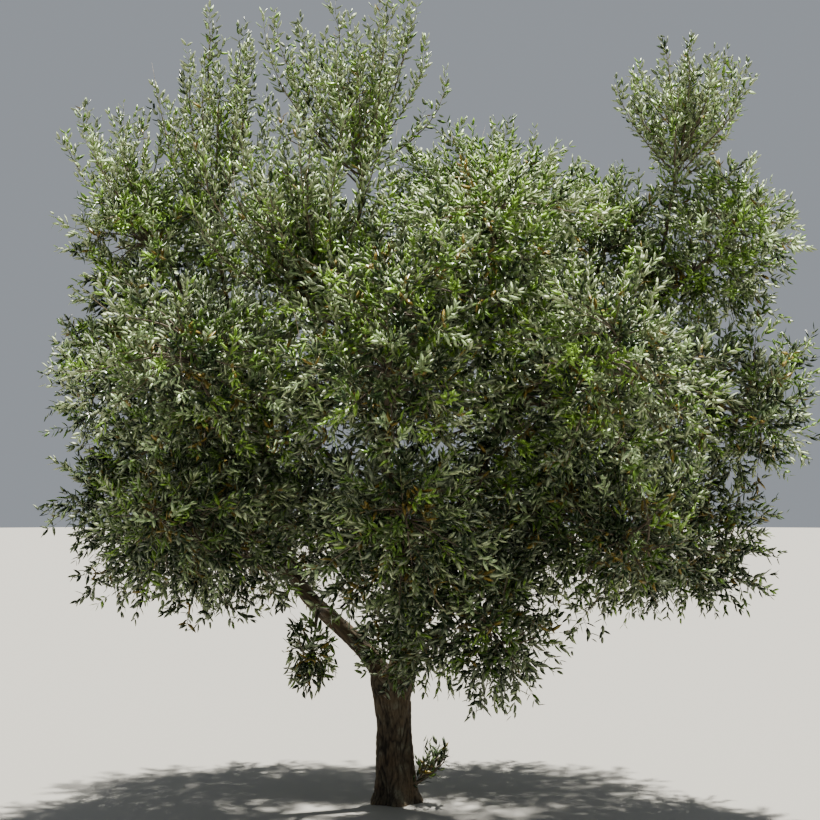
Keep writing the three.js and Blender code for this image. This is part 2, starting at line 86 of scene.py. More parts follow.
# The scaffold boughs: their radius at both ends and the points they run through, root first.
# Those with a parent leave it at a share of its length.
LEFT, RIGHT, BACK, CENTRE, FRONT = "bough_left", "bough_right", "bough_back", "bough_centre", "bough_front"
SCAFFOLDS = [
    {
        "name": LEFT, "thick": 0.054, "thin": 0.011,
        "through": [
            (-0.02, 0, 0.6), (-0.16, -0.02, 0.8), (-0.49, -0.08, 1.13), (-0.59, -0.1, 1.34),
            (-0.71, -0.06, 1.87), (-0.88, 0, 2.52), (-0.96, 0.02, 2.92),
        ],
    },
    {
        "name": RIGHT, "thick": 0.068, "thin": 0.012,
        "through": [
            (0.02, 0.01, 0.6), (0.075, 0.025, 0.85), (0.125, 0.055, 1.08), (0.25, 0.06, 1.3),
            (0.41, 0.03, 1.66), (0.59, 0, 2.04), (0.89, -0.02, 2.31), (1.49, 0.02, 2.74),
        ],
    },
    {
        "name": BACK, "thick": 0.052, "thin": 0.012,
        "through": [
            (0, 0.03, 0.6), (0.03, 0.22, 0.88), (-0.02, 0.56, 1.25), (-0.04, 0.86, 1.75), (0, 1.08, 2.42),
        ],
    },
    {
        "name": CENTRE, "thick": 0.044, "thin": 0.01, "parent": RIGHT, "share": 0.25,
        "through": [
            (0.07, 0.06, 1.36), (-0.06, 0.02, 1.82), (-0.2, -0.02, 2.19), (-0.25, 0, 2.58),
            (-0.19, 0, 3.24),
        ],
    },
    {
        "name": FRONT, "thick": 0.036, "thin": 0.012, "parent": RIGHT, "share": 0.13,
        "through": [
            (0.06, -0.26, 1.06), (0.01, -0.64, 1.35), (-0.02, -0.94, 1.75), (-0.03, -1.06, 2.02),
        ],
    },
]


def mass(name, at, reach, feeder, share=None, foot=None, lift=0.0, shoots=None, neck=0.0):
    """A mass of foliage: its middle and reach, the scaffold bough that feeds it, and its lift and shoots."""
    return {
        "name": name, "at": at, "reach": reach, "from": feeder, "share": share, "foot": foot, "lift": lift,
        "shoots": shoots, "neck": neck,
    }


# A mass with no share grows from the scaffold bough's tip, and one with a foot from the trunk's side there.
# One with a number of shoots is an open bunch of them, which leave its stem above its neck.
# The masses of one group make one piece of leaves and one of twigs.
MASS_GROUPS = {
    "left": [
        mass("left_low", (-1.2, -0.05, 1.56), (0.7, 0.8, 0.58), LEFT, 0.3),
        mass("left_mid", (-1.3, 0.05, 2.2), (0.62, 0.85, 0.64), LEFT, 0.42, lift=0.2),
        mass("left_high", (-1.3, 0, 2.84), (0.58, 0.75, 0.6), LEFT, 0.6, lift=0.4),
        mass("left_shoots", (-1.46, 0.02, 3.22), (0.44, 0.5, 0.58), LEFT, 0.72, lift=0.9, shoots=16),
        mass("lower_left", (-0.95, -0.72, 1.5), (0.62, 0.64, 0.52), LEFT, 0.28, lift=-0.2),
        mass("hanging_left", (-0.4, -0.8, 0.9), (0.14, 0.15, 0.25), LEFT, 0.2, lift=-0.9),
    ],
    "top_left": [
        mass("top_left", (-0.96, 0, 3.36), (0.46, 0.52, 0.94), LEFT, lift=1.0, shoots=17),
        mass("centre_high", (-0.62, 0.46, 2.95), (0.66, 0.68, 0.72), CENTRE, 0.5, lift=0.7, shoots=32),
        mass("front_high", (-0.44, -0.58, 2.86), (0.78, 0.66, 0.74), CENTRE, 0.55, lift=0.7, shoots=38),
    ],
    "top_right": [
        mass("top_mid", (-0.26, -0.02, 3.5), (0.62, 0.6, 0.94), CENTRE, lift=1.0, shoots=24),
        mass("top_right", (0.46, 0.1, 3.05), (0.74, 0.74, 0.62), RIGHT, 0.56, lift=0.5),
        mass("upper_right", (0.5, -0.68, 2.75), (0.7, 0.66, 0.6), RIGHT, 0.6, lift=0.4),
    ],
    "right_high": [
        mass("shoulder", (1.12, 0.1, 2.82), (0.6, 0.72, 0.62), RIGHT, 0.66, lift=0.5),
        mass("plume", (1.6, 0.1, 3.58), (0.43, 0.45, 0.58), RIGHT, 0.95, lift=0.7, shoots=22, neck=0.22),
        mass("right_high", (1.7, 0.05, 2.9), (0.56, 0.66, 0.58), RIGHT, lift=0.3),
    ],
    "right_low": [
        mass("right_mid", (1.66, -0.05, 2.15), (0.6, 0.75, 0.62), RIGHT, 0.78),
        mass("right_low", (1.46, 0, 1.5), (0.62, 0.75, 0.58), RIGHT, 0.63, lift=-0.3),
        mass("right_inner", (1.0, -0.65, 1.5), (0.64, 0.66, 0.58), RIGHT, 0.45, lift=-0.1),
    ],
    "front_left": [
        mass("front_centre", (0.0, -1.02, 2.25), (0.74, 0.7, 0.7), FRONT, lift=0.3),
        mass("front_left", (-0.92, -0.82, 2.12), (0.74, 0.74, 0.66), LEFT, 0.46, lift=0.3),
        mass("front_low", (0.05, -0.98, 1.46), (0.55, 0.6, 0.54), FRONT, 0.3, lift=-0.1),
    ],
    "front_right": [
        mass("front_right", (0.92, -0.85, 2.15), (0.76, 0.74, 0.66), RIGHT, 0.52, lift=0.3),
        mass("lower_right", (0.4, -0.72, 1.17), (0.5, 0.52, 0.62), FRONT, 0.2, lift=-0.6),
        mass(
            "fork_shoots", (0.02, -0.24, 0.87), (0.26, 0.2, 0.3), None,
            foot=(-0.005, -0.06, 0.61), lift=0.1,
        ),
        mass(
            "base_sucker", (0.205, -0.06, 0.19), (0.115, 0.115, 0.17), None,
            foot=(0.06, -0.02, 0.06), lift=0.5, shoots=6,
        ),
    ],
    "back_high": [
        mass("back_left", (-0.95, 0.92, 2.25), (0.78, 0.78, 0.7), BACK, 0.6, lift=0.3),
        mass("back_centre", (0.02, 1.09, 2.56), (0.8, 0.72, 0.82), BACK, lift=0.5),
        mass("back_right", (1.0, 0.92, 2.3), (0.78, 0.78, 0.72), BACK, 0.7, lift=0.3),
    ],
    "back_low": [
        mass("back_low_left", (-0.56, 0.92, 1.48), (0.74, 0.68, 0.58), BACK, 0.3, lift=-0.1),
        mass("back_low_right", (0.54, 0.95, 1.48), (0.74, 0.68, 0.58), BACK, 0.36, lift=-0.1),
    ],
}
MASSES = [one for group in MASS_GROUPS.values() for one in group]
MIDDLES = np.array([one["at"] for one in MASSES], float)
REACHES = np.array([one["reach"] for one in MASSES], float)
IS_BUNCH = np.array([one["shoots"] is not None for one in MASSES])

# Limbs thin out a little faster near their root than towards their tip
TAPER = 1.3
# Steps between two points of a smooth line, and along the whole of a bent one
LINE_STEPS = 40
TINY_LENGTH = 1e-12

# A mass's own bough, as in the solids
BOUGH_TIP_RADIUS = 0.011
BOUGH_TIP_SHARE_OF_REACH = 0.045
BOUGH_THICKENING = 0.019
BOUGH_SHARE_OF_PARENT = 0.85
BOUGH_ENTRY_SHARE = 0.78
BOUGH_LEAVING = {"ahead": 0.7, "along_parent": 0.3, "upwards": 0.25}
BOUGH_SAG = 0.1
LIFT_OF_BOUGH = 0.5
BEND_SHARE = 0.35

# A mass's stem, from its bough's tip across the mass
STEM_STEPS = 3
STEM_TIP_RADIUS = 0.006
FOOT_RADIUS_SHARE = 0.05
STEM_REACH_SHARE = 0.46
STEM_RINGS = 9
STEM_SIDES = 8

# A mass keeps to its reach, a little squarer than round, and to its side of its neighbours.
# Its sprigs may mingle with theirs over a narrow edge, so that no gap is left where two masses meet.
# A close mass also fills the foot of an open bunch beside it, which is narrow there.
REACH_ALLOWANCE = 1.04
SQUARENESS = 2.6
MINGLED_EDGE = 0.07
BUNCH_EDGE = 0.16
LOWEST_POINT = 0.02

# Twigs: a mass has one for each such step of its mean reach, and more of them where its middle is low
REACH_PER_TWIG = 0.0125
LOW_AND_HIGH_MIDDLES = (1.2, 2.0)
TWIG_GAINS = (1.2, 1.0)
LEAST_TWIGS = 7
LIFT_OF_TWIGS = 0.25
# A twig of a close mass ends within these shares of the reach, and the mass's stem has sprigs from here on
TWIG_REACH_SHARES = (0.45, 0.92)
CLOSE_STEM_START = 0.2
TWIG_RADIUS = 0.0055
TWIG_TIP_RADIUS = 0.002
TWIG_STEPS = 6
TWIG_SIDES = 4

# Shoots of an open mass rise side by side, the outer ones from lower down, to tips spread under its top
SHOOT_SPREAD = 0.9
SHOOT_HEIGHTS = (0.3, 0.97)
SHOOT_STRAY = 0.12
SHOOT_ROOTS = (0.04, 0.95)
SHOOT_LEAVING = {"along_stem": 0.5, "upwards": 0.3}
SHOOT_OPENING = 0.25

# Sprigs, which carry the leaves: their feet along a twig, and their lengths at the first and the last foot
CLOSE_SPRIGS = {"spacing": 0.04, "first": 0.28, "lengths": (0.26, 0.13), "angle": 0.85}
OPEN_SPRIGS = {"spacing": 0.052, "first": 0.1, "lengths": (0.21, 0.09), "angle": 0.6}
LEAST_SPRIGS = 4
SPRIG_REACH_SHARE = 0.75
SPRIG_LENGTH_SPREAD = 0.3
SPRIG_VARIETY = (0.7, 1.3)
SPRIG_RISE = 0.2
SPRIG_LIFT = 0.5
# Sprigs bend up or down as their mass's lift is over or under this one
STRAIGHT_LIFT = 0.25
SPRIG_BEND = 0.22
SPRIG_STRAY = 0.08
SPRIG_STEPS = 2
SPRIG_SIDES = 3
SPRIG_RADIUS = 0.0019
SPRIG_TIP_RADIUS = 0.0009
BARE_SPRIG_SHARE = 0.035

# The hollow of the crown is this share of its ellipsoid, with fewer sprigs, and plainer and larger leaves
CROWN_MIDDLE = np.array((0.12, 0.0, 2.1))
CROWN_REACH = np.array((2.1, 1.8, 1.5))
CROWN_HOLLOW = 0.58
INNER_SPRIG_SHARE = 0.9
INNER_LEAF_GROWTH = 1.25

# Leaves stand in pairs, each pair turned a quarter from the last, and get shorter towards a sprig's tip
CLOSE_LEAF_SPACING = 0.026
OPEN_LEAF_SPACING = 0.03
LEAST_PAIRS = 2
FIRST_PAIR_STEP = 0.8
LEAF_LENGTH = 0.061
LEAF_LENGTH_SPREAD = 0.2
LEAF_SHORTENING = 0.35
LEAF_WIDTH_SHARE = 0.32
LEAF_FOLD = 0.16
LEAF_ANGLES = (1.05, 0.5)
LEAF_ANGLE_SPREAD = 0.3
LEAF_TURN_SPREAD = 0.25
LEAF_ROLL = 0.6
# How far along a leaf its side corners lie, and how far out, as shares of its length and width
LEAF_STATIONS = ((0.28, 0.46), (0.66, 0.42))
INNER_LEAF_STATIONS = ((0.45, 0.55),)

# Plain leaf colours, dealt out by spray. The dark one is painted shade, the bright one painted sunlight, and
# the pale one the leaves' silvery tone with painted highlight. On an ageing spray the leaves nearest the
# twig have turned.
LEAF_COLOURS = {
    "leaf_dark_painted_shade": (0.022, 0.045, 0.012),
    "leaf_green": (0.1, 0.19, 0.025),
    "leaf_grey": (0.17, 0.24, 0.09),
    "leaf_bright_painted_sunlight": (0.26, 0.45, 0.06),
    "leaf_pale_painted_highlight": (0.49, 0.65, 0.32),
    "leaf_ochre": (0.24, 0.175, 0.03),
}
# The shares of these colours at the crown's foot, darker there as painted shade, and at its top, brighter
# there as painted sunlight, and how high those two are
PAINTED_SHADE_SHARES = np.array((0.56, 0.23, 0.09, 0.06, 0.05, 0.01))
PAINTED_SUNLIGHT_SHARES = np.array((0.04, 0.22, 0.14, 0.36, 0.23, 0.01))
FOOT_AND_TOP = (1.3, 3.2)
# Undersides: in order of the colours above, each leaf has the dull one, which is painted shade, or the
# silvery one, which carries painted light
LEAF_UNDERS = {"leaf_under_painted_shade": (0.25, 0.3, 0.18), "leaf_under_silvery_painted_light": (0.44, 0.52, 0.28)}
UNDER_OF_COLOUR = np.array((0, 0, 1, 1, 1, 0))
AGEING_SHARES = (0.3, 0.12)
AGEING_LENGTH = 0.3
LEAF_ROUGHNESS = 0.31
UNDER_ROUGHNESS = 0.5

# Twig colours with their roughness, and the numbers that these have on a piece of twigs
TWIG_FINISHES = {
    "twig_bark": ((0.13, 0.1, 0.07), 0.8),
    "green_shoot": ((0.22, 0.22, 0.1), 0.65),
    "dead_twig": ((0.5, 0.4, 0.27), 0.8),
}
TWIG_BARK, GREEN_SHOOT, DEAD_TWIG = range(len(TWIG_FINISHES))

# A twig or sprig that would leave its mass's space is tried again at these shares of its length
SHORTER = (1, 0.85, 0.7, 0.55, 0.4)

# Wood: boughs are one piece with the trunk as far as this radius, and the next piece starts just before.
# Boughs are tubes with a collar at the root, and a round end that stops at a share of the radius.
# Each piece is remeshed at a voxel, softened and given bark.
LOW_BOUGH_RADIUS = 0.032
BOUGH_OVERLAP = 0.002
TUBE_STEP = 0.012
LEAST_TUBE_POINTS = 4
TUBE_RESOLUTION = 8
TUBE_END_SHARE = 0.1
FORK_COLLAR = 0.3
LIMB_COLLAR = 0.12
COLLAR_LENGTH = 0.06
LOW_VOXEL = 0.0055
HIGH_VOXEL = 0.005
LOW_SOFTENING = 5
HIGH_SOFTENING = 3
SOFTENING_FACTOR = 0.5
CUT_THRESHOLD = 1e-6

# Relief of the bark: its depth follows the limb's radius, up to a deepest one for each piece
BARK_DEPTH_SHARE = 0.09
DEEPEST_LOW_BARK = 0.008
DEEPEST_HIGH_BARK = 0.003
# Waves to a metre across and along a limb, and the depth, of fissures, finer fissures and swellings
FISSURES = {"across": 46, "along": 9, "depth": 0.75}
FINE_FISSURES = {"across": 88, "along": 24, "depth": 0.35, "shift": 7}
FISSURE_SHARPNESS = 3.4
FISSURE_WARP = {"waves": 14, "strength": 0.5}
SWELLINGS = {"waves": 9, "stretch": 0.6, "depth": 0.7}
SWELLING_SHIFT = Vector((3, 1, 5))

# Pattern of the bark: noise drawn out along the limb for its grain and flakes, and round for patches.
# A ramp's stops are a place and a grey or a colour.
BARK_STRETCH = (1, 1, 0.22)
GRAIN = {"Scale": 210, "Detail": 5, "Roughness": 0.62}
FLAKES = {"Scale": 52, "Detail": 4, "Roughness": 0.55}
PATCHES = {"Scale": 11, "Detail": 4}
RELIEF_RANGE = {"From Min": -0.75, "From Max": 0.55}
FLAKE_SHARE = 0.35
GRAIN_SHARE = 0.75
BUMP_FLAKE_SHARE = 0.5
BARK_BUMP = {"Strength": 0.75, "Distance": 0.004}
RIDGE_RAMP = [(0.18, 0.0), (0.5, 0.55), (0.78, 1.0)]
GRAIN_RAMP = [(0.3, 0.35), (0.52, 0.8), (0.72, 1.25)]
WARMTH_RAMP = [(0.36, (1.12, 0.94, 0.78)), (0.6, (1, 1, 1))]
LICHEN_RAMP = [(0.56, 0.0), (0.66, 0.55)]
LICHEN_HEIGHT_RAMP = [(0.45, 0.0), (0.7, 1.0)]
ROUGHNESS_RAMP = [(0.0, 0.97), (1.0, 0.78)]
# The trunk's bark colours are darker than the boughs', partly its own tone and partly painted shade
TRUNK_BARK_AND_PAINTED_SHADE = {"Fissure_and_shade": (0.012, 0.009, 0.005), "Ridge": (0.115, 0.09, 0.053), "Lichen": (0.18, 0.18, 0.12)}
BOUGH_BARK = {"Fissure_and_shade": (0.022, 0.016, 0.01), "Ridge": (0.17, 0.135, 0.09), "Lichen": (0.24, 0.24, 0.18)}
BARK_ROUGHNESS = 0.9

FLOOR_RADIUS = 60
FLOOR_SIDES = 128
FLOOR_COLOUR = (0.34, 0.325, 0.3)
FLOOR_ROUGHNESS = 0.9
SKY_COLOUR = (0.84, 0.91, 1.0)
SKY_STRENGTH = 0.36
SUN_ENERGY = 13.5
SUN_ANGLE = 0.03
SUN_COLOUR = (1, 0.98, 0.89)
SUN_FROM = Vector((0.1, 0.26, 1))
# The camera is at eye height, and its rise is how far it looks up, in degrees
CAMERA_PLACE = (0.08, -8, 1.66)
CAMERA_RISE = 3.09
CAMERA_LENS = 65
CAMERA_SENSOR = 36


def unit(vectors):
    """Vectors scaled to length one, a single one or rows of them."""
    vectors = np.asarray(vectors, float)
    return vectors / np.maximum(np.linalg.norm(vectors, axis=-1, keepdims=True), TINY_LENGTH)


def smooth_line(points):
    """A centripetal Catmull-Rom line through points, its ends run on straight."""
    points = np.asarray(points, float)
    points = np.vstack([2 * points[0] - points[1], points, 2 * points[-1] - points[-2]])
    t = np.linspace(0, 1, LINE_STEPS, endpoint=False)[:, None]
    rows = []
    for p0, p1, p2, p3 in zip(points, points[1:], points[2:], points[3:]):
        d0, d1, d2 = (math.sqrt(np.linalg.norm(b - a)) for a, b in ((p0, p1), (p1, p2), (p2, p3)))
        start = ((p1 - p0) / d0 - (p2 - p0) / (d0 + d1) + (p2 - p1) / d1) * d1
        end = ((p2 - p1) / d1 - (p3 - p1) / (d1 + d2) + (p3 - p2) / d2) * d1
        bend = 3 * (p2 - p1) - 2 * start - end
        rest = 2 * (p1 - p2) + start + end
        rows.append(p1 + t * (start + t * (bend + t * rest)))
    return np.vstack(rows + [points[-2]])


def bent_line(start, leaving, end, arriving, steps=LINE_STEPS):
    """A line that sets off in one direction and arrives in another."""
    pull = np.linalg.norm(end - start) * BEND_SHARE
    first = start + leaving * pull
    last = end - arriving * pull
    t = np.linspace(0, 1, steps + 1)[:, None]
    return (1 - t) ** 3 * start + 3 * t * (1 - t) ** 2 * first + 3 * t * t * (1 - t) * last + t**3 * end


class Limb:
    """A tapering limb: points evenly along its line, and its radius at both ends."""

    SAMPLES = 161

    def __init__(self, name, line, thick, thin):
        run = np.concatenate([[0], np.cumsum(np.linalg.norm(np.diff(line, axis=0), axis=1))])
        even = np.linspace(0, run[-1], self.SAMPLES)
        self.name = name
        self.thick = thick
        self.thin = thin
        self.length = run[-1]
        self.points = np.stack([np.interp(even, run, line[:, axis]) for axis in range(3)], axis=1)
        self.headings = unit(np.gradient(self.points, axis=0))

    def at(self, share):
        return self._read(self.points, share)

    def heading(self, share):
        return unit(self._read(self.headings, share))

    def radius(self, share):
        return self.thin + (self.thick - self.thin) * (1 - np.asarray(share)) ** TAPER

    def share_of_radius(self, radius):
        left = min(1, max(0, (radius - self.thin) / (self.thick - self.thin)))
        return 1 - left ** (1 / TAPER)

    def _read(self, rows, share):
        place = np.linspace(0, 1, self.SAMPLES)
        return np.stack([np.interp(share, place, rows[:, axis]) for axis in range(3)], axis=-1)


def fullness(offset, reach):
    """How far out in its mass a point lies: one is the end of the reach, a little squarer than round."""
    return (np.abs(offset / reach) ** SQUARENESS).sum(axis=-1) ** (1 / SQUARENESS)


def reach_along(reach, direction):
    """How far a mass reaches from its middle in a direction."""
    return 1 / fullness(direction, reach)


def mean_reach(one):
    return float(np.prod(one["reach"]) ** (1 / 3))


def scaffold_limbs():
    """The scaffold boughs, parents first."""
    limbs = {}
    for bough in SCAFFOLDS:
        points = [np.array(point, float) for point in bough["through"]]
        if "parent" in bough:
            points.insert(0, limbs[bough["parent"]].at(bough["share"]))
        limbs[bough["name"]] = Limb(bough["name"], smooth_line(points), bough["thick"], bough["thin"])
    return limbs


def bough_limb(one, parent):
    """The bough that carries a mass: it leaves its parent and ends where it enters the mass."""
    middle = np.array(one["at"])
    start = parent.at(one["share"])
    back = unit(start - middle)
    end = middle + back * reach_along(np.array(one["reach"]), back) * BOUGH_ENTRY_SHARE
    heading = unit(end - start)
    leaving = unit(
        heading * BOUGH_LEAVING["ahead"]
        + parent.heading(one["share"]) * BOUGH_LEAVING["along_parent"]
        + UP * BOUGH_LEAVING["upwards"]
    )
    arriving = unit(heading + UP * (one["lift"] * LIFT_OF_BOUGH - BOUGH_SAG))
    grown = BOUGH_TIP_RADIUS + np.linalg.norm(end - start) * BOUGH_THICKENING
    thick = min(grown, parent.radius(one["share"]) * BOUGH_SHARE_OF_PARENT)
    thin = min(BOUGH_TIP_RADIUS, one["reach"][0] * BOUGH_TIP_SHARE_OF_REACH)
    return Limb("limb_" + one["name"], bent_line(start, leaving, end, arriving), thick, thin)


def stem_limb(one, bough):
    """A mass's stem carries on from its bough's tip, or leaves the trunk's side, and crosses the mass."""
    middle = np.array(one["at"])
    start = bough.at(1) if bough else np.array(one["foot"])
    leaving = bough.heading(1) if bough else unit(middle - start)
    arriving = unit(unit(middle - start) * (1 - abs(one["lift"])) + UP * one["lift"])
    end = middle + arriving * reach_along(np.array(one["reach"]), arriving) * STEM_REACH_SHARE
    thick = bough.thin if bough else one["reach"][0] * FOOT_RADIUS_SHARE
    return Limb("stem_" + one["name"], bent_line(start, leaving, end, arriving), thick, STEM_TIP_RADIUS)


def in_own_space(index, points, edge=0.0):
    """True where a point is in a mass's reach, above the ground and at most an edge past its border."""
    points = np.asarray(points, float)
    offset = points - MIDDLES[index]
    inside = fullness(offset, REACHES[index]) < REACH_ALLOWANCE
    inside &= points[..., 2] > LOWEST_POINT
    others = [k for k in range(len(MASSES)) if k != index]
    between = MIDDLES[others] - MIDDLES[index]
    apart = np.linalg.norm(between, axis=1)
    between = unit(between)
    ours = reach_along(REACHES[index], between)
    theirs = reach_along(REACHES[others], between)
    border = apart * ours / (ours + theirs) + edge
    if not IS_BUNCH[index]:
        border += BUNCH_EDGE * IS_BUNCH[others]
    return inside & (offset @ between.T < border).all(axis=-1)


def spread_directions(count, turn):
    """Directions spread evenly over a sphere."""
    index = np.arange(count)
    z = 1 - (2 * index + 1) / count
    across = np.sqrt(1 - z * z)
    angle = index * GOLDEN_ANGLE + turn
    return np.stack([across * np.cos(angle), across * np.sin(angle), z], axis=1)


def side_frames(headings):
    """Two directions square to each heading and to each other."""
    lying = np.argmin(np.abs(headings), axis=-1)
    first = unit(np.cross(headings, np.eye(3)[lying]))
    return first, np.cross(headings, first)


def close_twigs(index, stem, random):
    """Where a close mass's twigs leave the stem, at the two nearest knots in turn, and where they end."""
    one = MASSES[index]
    gain = np.interp(one["at"][2], LOW_AND_HIGH_MIDDLES, TWIG_GAINS)
    count = max(LEAST_TWIGS, round(mean_reach(one) / REACH_PER_TWIG * gain))
    lift = UP * one["lift"] * LIFT_OF_TWIGS
    outward = unit(spread_directions(count, random.random() * math.tau) + lift)
    reach = reach_along(REACHES[index], outward) * random.uniform(*TWIG_REACH_SHARES, count)
    ends = MIDDLES[index] + outward * reach[:, None]
    knots = np.linspace(0, 1, 2 * STEM_STEPS + 1)[1:]
    nearest = np.argsort(np.linalg.norm(stem.at(knots)[None] - ends[:, None], axis=2), axis=1)
    shares = knots[nearest[np.arange(count), np.arange(count) % 2]]
    ahead = unit(ends - stem.at(shares))
    return shares, ends, unit(stem.heading(shares) + ahead), unit(ahead + lift)


def open_shoots(index, stem, random):
    """Where the shoots of an open mass leave the stem and end: the further out, the lower their root."""
    one = MASSES[index]
    count = one["shoots"]
    order = np.arange(count)
    out = np.sqrt((order + 0.5) / count) * SHOOT_SPREAD
    angle = order * GOLDEN_ANGLE + random.random() * math.tau
    height = (1 - out**SQUARENESS) ** (1 / SQUARENESS) * random.uniform(*SHOOT_HEIGHTS, count)
    round_about = np.stack([np.cos(angle), np.sin(angle), np.zeros(count)], axis=1)
    ends = MIDDLES[index] + REACHES[index] * (round_about * out[:, None] + UP * height[:, None])
    shares = np.clip(1 - out + random.uniform(-SHOOT_STRAY, SHOOT_STRAY, count), *SHOOT_ROOTS)
    shares = one["neck"] + (1 - one["neck"]) * shares
    along_stem = stem.heading(shares) * SHOOT_LEAVING["along_stem"]
    leaving = unit(along_stem + round_about + UP * SHOOT_LEAVING["upwards"])
    stray = random.normal(0, SHOOT_STRAY, (count, 3))
    return shares, ends, leaving, unit(UP + round_about * SHOOT_OPENING + stray)


def grow_twigs(index, stem, random):
    """The twigs of one mass as rows of points, from the stem outwards, with the stem itself last."""
    is_open = MASSES[index]["shoots"] is not None
    shares, ends, leaving, arriving = (open_shoots if is_open else close_twigs)(index, stem, random)
    lines = []
    for foot, end, first, last in zip(stem.at(shares), ends, leaving, arriving):
        for share in SHORTER:
            line = bent_line(foot, first, foot + (end - foot) * share, last, TWIG_STEPS)
            if in_own_space(index, line[TWIG_STEPS // 2 :]).all():
                lines.append(line)
                break
    lines.append(stem.at(np.linspace(0 if is_open else CLOSE_STEM_START, 1, TWIG_STEPS + 1)))
    return np.array(lines)


def grow_sprigs(index, twigs, random):
    """Sprigs along each twig and one at its tip: the foot, heading, length and bend of each."""
    one = MASSES[index]
    lift = one["lift"]
    rule = CLOSE_SPRIGS if one["shoots"] is None else OPEN_SPRIGS
    longest = np.minimum(rule["lengths"], mean_reach(one) * SPRIG_REACH_SHARE)
    feet, headings, lengths = [], [], []
    for twig in twigs:
        line = Limb("twig", twig, TWIG_RADIUS, TWIG_TIP_RADIUS)
        first = rule["first"] * random.uniform(*SPRIG_VARIETY)
        count = max(LEAST_SPRIGS, round(line.length * (1 - first) / rule["spacing"]))
        shares = np.linspace(first, 1, count)
        heading = line.heading(shares)
        side, over = side_frames(heading)
        around = np.arange(count) * GOLDEN_ANGLE + random.random() * math.tau
        outwards = side * np.cos(around)[:, None] + over * np.sin(around)[:, None]
        angle = rule["angle"] * random.uniform(*SPRIG_VARIETY, count)
        angle[-1] = 0
        leaning = heading * np.cos(angle)[:, None] + outwards * np.sin(angle)[:, None]
        feet.append(line.at(shares))
        headings.append(unit(leaning + UP * (SPRIG_RISE + SPRIG_LIFT * lift)))
        spread = random.uniform(1 - SPRIG_LENGTH_SPREAD, 1 + SPRIG_LENGTH_SPREAD, count)
        lengths.append(np.interp(shares, [first, 1], longest) * spread)
    feet, headings, lengths = np.vstack(feet), np.vstack(headings), np.concatenate(lengths)
    shown = ~is_inner(feet) | (random.random(len(feet)) < INNER_SPRIG_SHARE)
    feet, headings, lengths = feet[shown], headings[shown], lengths[shown]
    bend = UP * (SPRIG_BEND * (lift - STRAIGHT_LIFT)) + random.normal(0, SPRIG_STRAY, (len(feet), 3))
    kept = np.zeros(len(feet), bool)
    for share in SHORTER:
        trial = lengths * share
        fits = in_own_space(index, feet + (headings + bend) * trial[:, None], MINGLED_EDGE)
        fits &= in_own_space(index, feet + (headings + bend / 4) * trial[:, None] / 2, MINGLED_EDGE)
        take = fits & ~kept
        lengths[take] = trial[take]
        kept |= take
    return feet[kept], headings[kept], lengths[kept], bend[kept]


def is_inner(points):
    """True where a point lies in the hollow of the crown."""
    return fullness(points - CROWN_MIDDLE, CROWN_REACH) < CROWN_HOLLOW


def sprig_points(sprigs, share):
    """The point of each sprig at a share of its length."""
    feet, headings, lengths, bend = sprigs
    share = np.asarray(share)[:, None]
    return feet + (headings * share + bend * share**2) * lengths[:, None]


def grow_leaves(index, sprigs, bare, random):
    """Root, direction, side, length and share of each leaf, with the number of the sprig it stands on."""
    feet, lengths = sprigs[0], sprigs[2]
    spacing = CLOSE_LEAF_SPACING if MASSES[index]["shoots"] is None else OPEN_LEAF_SPACING
    pairs = np.maximum(LEAST_PAIRS, np.round(lengths / spacing).astype(int))
    pairs[bare] = 0
    sprig = np.repeat(np.arange(len(feet)), pairs)
    step = np.concatenate([np.arange(n) for n in pairs])
    share = (step + FIRST_PAIR_STEP) / pairs[sprig]
    some = tuple(part[sprig] for part in sprigs)
    root = sprig_points(some, share)
    heading = unit(some[1] + 2 * some[3] * share[:, None])
    side, over = side_frames(heading)
    turn = random.random(len(feet)) * math.tau
    around = turn[sprig] + step * math.pi / 2
    rows = []
    for half in (0, math.pi):
        phase = around + half + random.normal(0, LEAF_TURN_SPREAD, len(root))
        outwards = side * np.cos(phase)[:, None] + over * np.sin(phase)[:, None]
        angle = np.interp(share, [0, 1], LEAF_ANGLES) + random.normal(0, LEAF_ANGLE_SPREAD, len(root))
        angle = angle[:, None]
        direction = heading * np.cos(angle) + outwards * np.sin(angle)
        top = heading * np.sin(angle) - outwards * np.cos(angle)
        roll = random.normal(0, LEAF_ROLL, len(root))[:, None]
        across = unit(np.cross(top, direction))
        across = across * np.cos(roll) + top * np.sin(roll)
        grown = 1 - LEAF_SHORTENING * share**3
        spread = random.uniform(1 - LEAF_LENGTH_SPREAD, 1 + LEAF_LENGTH_SPREAD, len(root))
        length = LEAF_LENGTH * grown * spread
        rows.append((root, direction, across, length, sprig, share))
    leaves = tuple(np.concatenate(part) for part in zip(*rows))
    fits = in_own_space(index, leaves[0] + leaves[1] * leaves[3][:, None], MINGLED_EDGE)
    return tuple(part[fits] for part in leaves)


def leaf_numbers(sprigs, leaves, random):
    """The colour number of each leaf: its spray's, save for old leaves at the foot of ageing sprays."""
    names = list(LEAF_COLOURS)
    # Painted shade and sunlight: low sprays get more of the dark colour, high ones more of the bright and
    # pale ones
    high = np.interp(sprigs[0][:, 2], FOOT_AND_TOP, [0, 1])
    shares = np.cumsum(np.outer(1 - high, PAINTED_SHADE_SHARES) + np.outer(high, PAINTED_SUNLIGHT_SHARES), axis=1)
    spray = (random.random(len(high))[:, None] > shares[:, :-1]).sum(axis=1)
    ageing = random.random(len(high)) < np.interp(high, [0, 1], AGEING_SHARES)
    sprig, share = leaves[4], leaves[5]
    return np.where(ageing[sprig] & (share < AGEING_LENGTH), names.index("leaf_ochre"), spray[sprig])


